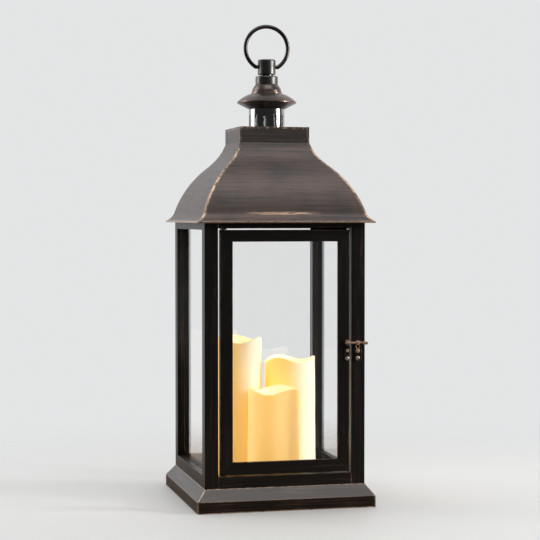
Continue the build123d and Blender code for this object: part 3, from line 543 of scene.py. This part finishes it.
def cell_jacket():
    """Dark glossy film round a battery cell, without lettering."""
    material, graph, output = new_material("Cell Jacket")
    patina = use_group(graph, "Patina", cloud_scale=80.0)
    surface = graph.mix(patina["Cloud"], (0.020, 0.022, 0.026, 1.0), (0.035, 0.036, 0.040, 1.0))
    roughness = graph.span(patina["Cloud"], 0.0, 1.0, 0.22, 0.34)
    principled(graph, output, base_color=surface, roughness=roughness)
    return material


def finish_nodes(material, names):
    """Gives CAD nodes a material."""
    for name in names:
        for slot in NODES[name].material_slots:
            slot.material = material


def in_slot(*slots):
    """Names of the nodes in the record's material slots."""
    return [name for name, slot in SLOTS.items() if slot in slots]


# ---------------------------------------------------------------- candle wax
# Node, turn of the rim's waves in degrees, share of the glow lost on the side away from the light.
CANDLES = (("candle_short", 61.7, 0.15), ("candle_medium", -12.0, 1.0), ("candle_tall", 84.0, 1.0))
WALL_STEPS = 24
ROLL_STEPS = 8
INNER_STEPS = 6
FILLET_STEPS = 5
WALL_SWAY = 0.00035
INNER_DRAFT = 0.0012
POOL_FILLET = 0.003
POOL_RINGS = (0.75, 0.5, 0.3)
HOLE_CHAMFER = 0.0015
CEILING_GLOW = 0.6
# The rim's middle height below its highest point and its unevenness, both in rim waves.
RIM_DROP = 1.15
RIM_UNEVEN = 0.12
# Where round the candle the glow starts to fall off, and where it has gone.
GLOW_EDGE = (math.radians(25.0), math.radians(100.0))


def wax_section(form, radius, foot, top, rim, angle):
    """Points of the wax's closed section at one angle, from the outer foot round to the inner foot.

    Each point is its radius, its height and how much of the pool's light it shows."""
    pool = top - form.recess
    ceiling = pool - form.diaphragm
    edge = radius - form.taper
    roll = form.lip / 2
    section = []
    for step in range(WALL_STEPS + 1):
        part = step / WALL_STEPS
        height = foot + (rim - roll - foot) * part
        sway = WALL_SWAY * noise.noise((3.0 * math.cos(angle), 3.0 * math.sin(angle), height * 30.0))
        section.append((radius - form.taper * part + sway, height, 0.0))
    for step in range(1, ROLL_STEPS):
        bend = math.pi * step / ROLL_STEPS
        out = edge - roll + roll * math.cos(bend)
        section.append((out, rim - roll + roll * math.sin(bend), step / ROLL_STEPS))
    inner = edge - form.lip
    for step in range(INNER_STEPS + 1):
        part = step / INNER_STEPS
        height = rim - roll - (rim - roll - pool - POOL_FILLET) * part
        section.append((inner - INNER_DRAFT * part, height, 1.0))
    for step in range(1, FILLET_STEPS + 1):
        bend = math.sin(math.pi / 2 * step / FILLET_STEPS)
        section.append((inner - INNER_DRAFT - POOL_FILLET * bend, pool + POOL_FILLET * (1 - bend), 1.0))
    for share in POOL_RINGS:
        section.append((inner * share, pool, 1.0))
    section.append((form.light_hole + HOLE_CHAMFER, pool + 0.0002, 1.0))
    section.append((form.light_hole, pool - 0.001, 1.0))
    section.append((form.light_hole, ceiling, 1.0))
    section.append((form.bore, ceiling, CEILING_GLOW))
    section.append((form.bore, foot, 0.0))
    return section


def wax_shell(candle, form, turn, lean):
    """Closed wax shell in place of the plain one.

    Its colour attribute holds the glow, with how warm the wax looks as its alpha."""
    low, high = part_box(candle + "_wax")
    centre = (low + high) / 2
    radius = (high.x - low.x) / 2
    foot, top = low.z, high.z
    points = []
    glows = []
    for index in range(form.steps):
        angle = math.tau * index / form.steps
        uneven = noise.noise((9.0 * math.cos(angle), 9.0 * math.sin(angle), top))
        wave = math.cos(3 * (angle - turn)) + RIM_UNEVEN * uneven
        rim = top - RIM_DROP * form.rim_wave + form.rim_wave * wave
        aside = abs((angle - form.glow_side + math.pi) % math.tau - math.pi)
        lit = 1.0 - lean * eased(aside, *GLOW_EDGE)
        for out, height, inside in wax_section(form, radius, foot, top, rim, angle):
            points.append((centre.x + out * math.cos(angle), centre.y + out * math.sin(angle), height))
            glows.append((*glow_at(form, foot, rim, height, inside, lit), lit * (1.0 - inside)))
    row = len(points) // form.steps
    faces = []
    for index in range(form.steps):
        here = index * row
        there = (index + 1) % form.steps * row
        for step in range(row):
            after = (step + 1) % row
            faces.append((here + step, there + step, there + after, here + after))
    mesh = bpy.data.meshes.new(candle + "_wax_shell")
    mesh.from_pydata(points, [], faces)
    mesh.validate()
    mesh.shade_smooth()
    layer = mesh.color_attributes.new("Glow", "FLOAT_COLOR", "POINT")
    layer.data.foreach_set("color", [part for glow in glows for part in glow])
    shell = bpy.data.objects.new(candle + "_wax_shell", mesh)
    bpy.context.scene.collection.objects.link(shell)
    return shell


def eased(value, low, high):
    """Share of the way from low to high, eased at both ends."""
    share = max(0.0, min(1.0, (value - low) / (high - low)))
    return share * share * (3 - 2 * share)


def glow_at(form, foot, rim, height, inside, lit):
    """Colour of the light that comes through the wax."""
    outer = Vector(form.glow_foot).lerp(Vector(form.glow_body), eased(height, foot, rim))
    return (outer * lit).lerp(Vector(form.glow_pool), inside)


# ---------------------------------------------------------------- stage
# How much brighter the wall is drawn where it is seen through the panes, which hold some of it back.
PANE_GAIN = 1.08
# Strength of the room's reflected light: overhead, from behind, and everywhere.
ROOM_ABOVE = 0.25
ROOM_BEHIND = 0.75
ROOM_ALL = 0.030
FLOOR_CORNERS = 64
# Name, place, point it faces, width, height, power in watts, colour.
LAMPS = (
    ("Left Window", (-2.26, 1.0, 1.5), (0.0, 0.0, 0.4), 1.5, 2.2, 25.0, (0.97, 0.985, 1.0)),
    ("Right Window", (2.07, -0.94, 0.8), (0.0, 0.0, 0.3), 0.52, 1.3, 39.0, (1.0, 0.98, 0.95)),
    ("Overhead", (0.1, -0.9, 2.2), (0.0, 0.0, 0.4), 1.6, 1.0, 10.0, (1.0, 0.99, 0.97)),
)


def add_lamp(scene, name, place, target, width, height, power, shade):
    """Soft rectangular lamp that the camera doesn't see."""
    light = bpy.data.lights.new(name, "AREA")
    light.shape = "RECTANGLE"
    light.size = width
    light.size_y = height
    light.energy = power
    light.color = shade
    lamp = bpy.data.objects.new(name, light)
    lamp.location = place
    lamp.rotation_euler = (Vector(target) - Vector(place)).to_track_quat("-Z", "Y").to_euler()
    lamp.visible_camera = False
    lamp.visible_transmission = False
    scene.collection.objects.link(lamp)


def add_camera(scene, studio):
    """Camera at the lantern's usual viewing angle."""
    camera = bpy.data.objects.new("Camera", bpy.data.cameras.new("Camera"))
    camera.data.lens = studio.lens
    camera.data.clip_end = 50.0
    camera.location = studio.camera_place
    camera.rotation_euler = Euler((math.pi / 2 - studio.camera_tilt, 0.0, studio.camera_turn), "XYZ")
    scene.collection.objects.link(camera)
    scene.camera = camera


def looked_at(graph):
    """Whether the stage is looked at, straight or through glass, and whether it is through glass."""
    path = graph.add("ShaderNodeLightPath").outputs
    bounces = graph.math("ADD", path["Diffuse Depth"], path["Glossy Depth"])
    through = graph.math("MULTIPLY", path["Is Transmission Ray"], graph.math("LESS_THAN", bounces, 0.5))
    return graph.math("MAXIMUM", path["Is Camera Ray"], through), through


def build_floor(studio):
    """Round floor that fades into the wall's colour."""
    radius = studio.floor_radius
    corners = []
    for index in range(FLOOR_CORNERS):
        angle = math.tau * index / FLOOR_CORNERS
        corners.append((radius * math.cos(angle), radius * math.sin(angle), LANTERN_LOW.z))
    mesh = bpy.data.meshes.new("Floor")
    mesh.from_pydata(corners, [], [tuple(range(len(corners)))])
    floor = bpy.data.objects.new("Floor", mesh)
    bpy.context.scene.collection.objects.link(floor)
    material, graph, output = new_material("Floor")
    distance = graph.add("ShaderNodeVectorMath", {0: graph.place()}, operation="LENGTH").outputs["Value"]
    fade = graph.span(distance, radius * 0.25, radius * 0.98)
    tone = graph.mix(looked_at(graph)[0], rgba(studio.floor_glow), rgba(studio.floor))
    paint = graph.add("ShaderNodeBsdfPrincipled", {"Base Color": tone, "Roughness": 0.6})
    clear = graph.add("ShaderNodeBsdfTransparent")
    both = graph.add("ShaderNodeMixShader", {0: fade, 1: paint.outputs[0], 2: clear.outputs[0]})
    graph.tree.links.new(both.outputs[0], output.inputs["Surface"])
    mesh.materials.append(material)


def build_surroundings(scene, studio):
    """Pale wall to look at, and a room that is bright behind and dim in front to reflect."""
    world = bpy.data.worlds.new("Studio")
    world.use_nodes = True
    world.node_tree.nodes.clear()
    scene.world = world
    graph = Graph(world.node_tree)
    way = graph.add("ShaderNodeTexCoord").outputs["Generated"]
    parts = graph.split(way)
    above = graph.span(parts["Z"], 0.0, 0.9, 0.0, ROOM_ABOVE)
    behind = graph.span(parts["Y"], 0.0, 0.35, 0.0, ROOM_BEHIND)
    light = graph.math("ADD", above, graph.math("ADD", behind, ROOM_ALL))
    reflected = graph.add("ShaderNodeBackground", {"Color": (0.97, 0.985, 1.0, 1.0), "Strength": light})
    looking, through = looked_at(graph)
    brighter = graph.span(through, 0.0, 1.0, 1.0, PANE_GAIN)
    seen = graph.add("ShaderNodeBackground", {"Color": rgba(studio.wall), "Strength": brighter})
    both = graph.add("ShaderNodeMixShader", {0: looking, 1: reflected.outputs[0], 2: seen.outputs[0]})
    graph.add("ShaderNodeOutputWorld", {"Surface": both.outputs[0]})


# ---------------------------------------------------------------- operators
class LANTERN_OT_groups(Operator):
    """Builds the shader groups that the materials share"""

    bl_idname = "lantern.groups"
    bl_label = "Shared Effects"

    def execute(self, context):
        worn_edges_group()
        brushed_grain_group()
        patina_group()
        return {"FINISHED"}


class LANTERN_OT_cabin(Operator):
    """Finishes the posts, rails, door frame and clips in oil-rubbed bronze"""

    bl_idname = "lantern.cabin"
    bl_label = "Cabin and Door"

    def execute(self, context):
        finish = context.scene.lantern_finish
        shades = (finish.bronze_dark, finish.bronze_brown)
        upright = bronze(
            "Upright Bronze", finish, UPRIGHT_GRAIN, shades, brown_from=0.54, wear=0.78, rough=0.36,
            streak_wear=0.5,
        )
        level = bronze(
            "Level Bronze", finish, LEVEL_GRAIN, shades, brown_from=0.54, wear=0.70, rough=0.36,
            streak_wear=0.4,
        )
        names = in_slot("bronze_frame")
        door = [name for name in names if name.startswith(("door_stile", "door_rail"))]
        uprights = [name for name in names if name.startswith("post")]
        finish_nodes(upright, uprights)
        finish_nodes(level, [name for name in names if name not in uprights + door])
        corners = [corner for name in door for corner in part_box(name)]
        box = (Vector(map(min, *corners)), Vector(map(max, *corners)))
        wear = away_from_mitres(*box, amount=0.80)
        stiles = bronze(
            "Stile Bronze", finish, UPRIGHT_GRAIN, shades, brown_from=0.56, wear=wear, rough=0.36,
            streak_wear=0.5, breakup=220.0,
        )
        rails = bronze(
            "Door Rail Bronze", finish, LEVEL_GRAIN, shades, brown_from=0.56, wear=wear, rough=0.36,
            streak_wear=0.4,
        )
        finish_nodes(stiles, [name for name in door if "stile" in name])
        finish_nodes(rails, [name for name in door if "rail" in name])
        return {"FINISHED"}


class LANTERN_OT_roof(Operator):
    """Finishes the roof in brushed bronze with worn hips, their wide bright copper partly a painted highlight
    """

    bl_idname = "lantern.roof"
    bl_label = "Roof"

    def execute(self, context):
        finish = context.scene.lantern_finish
        shades = (finish.roof_dark, finish.roof_brown)
        low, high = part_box("roof_shell")
        wear = less_above(high.z - finish.neck_height, below=0.93, above=0.50)
        mark = level_scuff(Vector((SCUFF_X, low.y, low.z + finish.mark_height)), *SCUFF_SIZE)
        # Bare copper along the hips: real wear, drawn wide and bright so that it also stands in as a painted
        # highlight on the hips
        roof = bronze(
            "Roof Bronze", finish, ROOF_GRAIN, shades, brown_from=0.44, wear=wear, rough=0.38,
            streak_wear=0.6, reach=2.5, cloudy=0.22, breakup=240.0, copper=finish.copper_bright, mark=mark,
        )
        finish_nodes(roof, in_slot("bronze_roof"))
        return {"FINISHED"}


class LANTERN_OT_base(Operator):
    """Finishes the plinth"""

    bl_idname = "lantern.base"
    bl_label = "Base"

    def execute(self, context):
        finish = context.scene.lantern_finish
        shades = (finish.base_dark, finish.base_brown)
        # The upright edge's darker colours are painted shade and a painted reflection of the brown floor
        base = bronze(
            "Base Bronze", finish, LEVEL_GRAIN, shades, brown_from=0.50, wear=0.90, rough=0.36,
            streak_wear=0.3, reach=1.5, breakup=200.0, copper=finish.copper_bright,
            shaded_sides=(finish.side_shade_dark, finish.side_shade_brown),
        )
        finish_nodes(base, in_slot("bronze_base"))
        return {"FINISHED"}


class LANTERN_OT_finial(Operator):
    """Finishes the chimney, cap, knob and ring"""

    bl_idname = "lantern.finial"
    bl_label = "Finial and Ring"

    def execute(self, context):
        finish = context.scene.lantern_finish
        cap = bronze(
            "Cap Bronze", finish, TURNED_GRAIN, (finish.cap_dark, finish.cap_brown), brown_from=0.44,
            wear=0.85, rough=0.28, metallic=0.9, reach=0.7,
        )
        black = plated("Finial Black", finish, finish.finial_dark, 0.34)
        finish_nodes(cap, ["vent_cap"])
        finish_nodes(black, ["finial_collar", "finial_knob"])
        finish_nodes(plated("Ring Black", finish, finish.cap_dark, 0.26), ["ring_handle"])
        finish_nodes(plated("Gunmetal", finish, finish.gunmetal, 0.12), ["chimney_tube"])
        return {"FINISHED"}


class LANTERN_OT_latch(Operator):
    """Finishes the latch, worn to copper, with a painted highlight on the plates' ribs"""

    bl_idname = "lantern.latch"
    bl_label = "Latch"

    def execute(self, context):
        finish = context.scene.lantern_finish
        worn = bronze(
            "Latch Copper", finish, LEVEL_GRAIN, (finish.roof_brown, finish.copper_bright), brown_from=0.42,
            wear=0.9, rough=0.26, metallic=0.35, reach=0.4,
        )
        finish_nodes(worn, ["latch_arm", "latch_pivot"])
        shades = (finish.bronze_dark, finish.bronze_brown)
        for name, label in (("latch_plate", "Latch Plate"), ("latch_keeper", "Keeper Plate")):
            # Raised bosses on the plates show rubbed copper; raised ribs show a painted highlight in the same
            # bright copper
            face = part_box(name)[1].y - finish.plate_thickness
            plate = bronze(
                label, finish, LEVEL_GRAIN, shades, brown_from=0.5, wear=0.7, rough=0.24, metallic=0.35,
                reach=0.25, copper=finish.copper_bright, mark=relief_rub_and_highlight(face),
            )
            finish_nodes(plate, [name])
        return {"FINISHED"}


class LANTERN_OT_fasteners(Operator):
    """Finishes the screws, the tie bolt and the hinge bushes"""

    bl_idname = "lantern.fasteners"
    bl_label = "Fasteners"

    def execute(self, context):
        finish = context.scene.lantern_finish
        finish_nodes(plated("Zinc Plate", finish, finish.zinc, 0.24), in_slot("steel_fastener"))
        finish_nodes(plastic("Black Nylon", (0.018, 0.018, 0.018), 0.5), in_slot("bush_nylon"))
        return {"FINISHED"}


class LANTERN_OT_glazing(Operator):
    """Finishes the three fixed panes and the door's pane"""

    bl_idname = "lantern.glazing"
    bl_label = "Glass"

    def execute(self, context):
        finish_nodes(clear_glass(context.scene.lantern_finish), in_slot("glass"))
        return {"FINISHED"}


class LANTERN_OT_candles(Operator):
    """Casts the three wax shells with their melted rims and inner glow"""

    bl_idname = "lantern.candles"
    bl_label = "Candle Wax"

    def execute(self, context):
        form = context.scene.candle_form
        wax = candle_wax(form)
        for candle, turn, lean in CANDLES:
            shell = wax_shell(candle, form, math.radians(turn), lean)
            shell.data.materials.append(wax)
            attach(shell, candle)
            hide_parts(candle + "_wax")
        return {"FINISHED"}


class LANTERN_OT_candle_works(Operator):
    """Finishes the battery housings, cells, contacts and lights"""

    bl_idname = "lantern.candle_works"
    bl_label = "Candle Works"

    def execute(self, context):
        finish = context.scene.lantern_finish
        form = context.scene.candle_form
        finish_nodes(plastic("Ivory Plastic", (0.70, 0.66, 0.55), 0.45), in_slot("candle_plastic"))
        finish_nodes(cell_jacket(), in_slot("cell_jacket"))
        finish_nodes(plated("Nickel Plate", finish, finish.nickel, 0.2), in_slot("contact_metal"))
        finish_nodes(candle_lamp(form), in_slot("candle_light"))
        return {"FINISHED"}


class LANTERN_OT_stage(Operator):
    """Sets up the floor, the wall, the lamps and the camera"""

    bl_idname = "lantern.stage"
    bl_label = "Studio"

    def execute(self, context):
        studio = context.scene.studio_setup
        build_floor(studio)
        build_surroundings(context.scene, studio)
        for lamp in LAMPS:
            add_lamp(context.scene, *lamp)
        add_camera(context.scene, studio)
        context.scene.view_settings.view_transform = "Standard"
        return {"FINISHED"}


# ---------------------------------------------------------------- panel and registration
PIECES = (
    LANTERN_OT_groups,
    LANTERN_OT_cabin,
    LANTERN_OT_roof,
    LANTERN_OT_base,
    LANTERN_OT_finial,
    LANTERN_OT_latch,
    LANTERN_OT_fasteners,
    LANTERN_OT_glazing,
    LANTERN_OT_candles,
    LANTERN_OT_candle_works,
    LANTERN_OT_stage,
)


class LANTERN_PT_pieces(Panel):
    """Lists the lantern's operators and their sizes"""

    bl_idname = "LANTERN_PT_pieces"
    bl_label = "Candle Lantern"
    bl_space_type = "VIEW_3D"
    bl_region_type = "UI"
    bl_category = "Lantern"

    def draw(self, context):
        for piece in PIECES:
            self.layout.operator(piece.bl_idname)
        for group in (context.scene.lantern_finish, context.scene.candle_form, context.scene.studio_setup):
            box = self.layout.box()
            for name in group.bl_rna.properties.keys():
                if name not in ("rna_type", "name"):
                    box.prop(group, name)


CLASSES = (LanternFinish, CandleForm, StudioSetup, *PIECES, LANTERN_PT_pieces)


def register():
    for item in CLASSES:
        bpy.utils.register_class(item)
    bpy.types.Scene.lantern_finish = PointerProperty(type=LanternFinish)
    bpy.types.Scene.candle_form = PointerProperty(type=CandleForm)
    bpy.types.Scene.studio_setup = PointerProperty(type=StudioSetup)


def unregister():
    del bpy.types.Scene.studio_setup
    del bpy.types.Scene.candle_form
    del bpy.types.Scene.lantern_finish
    for item in reversed(CLASSES):
        bpy.utils.unregister_class(item)


def main():
    """Registers the add-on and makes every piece."""
    register()
    for piece in PIECES:
        family, action = piece.bl_idname.split(".")
        getattr(getattr(bpy.ops, family), action)()


if __name__ == "__main__":
    main()
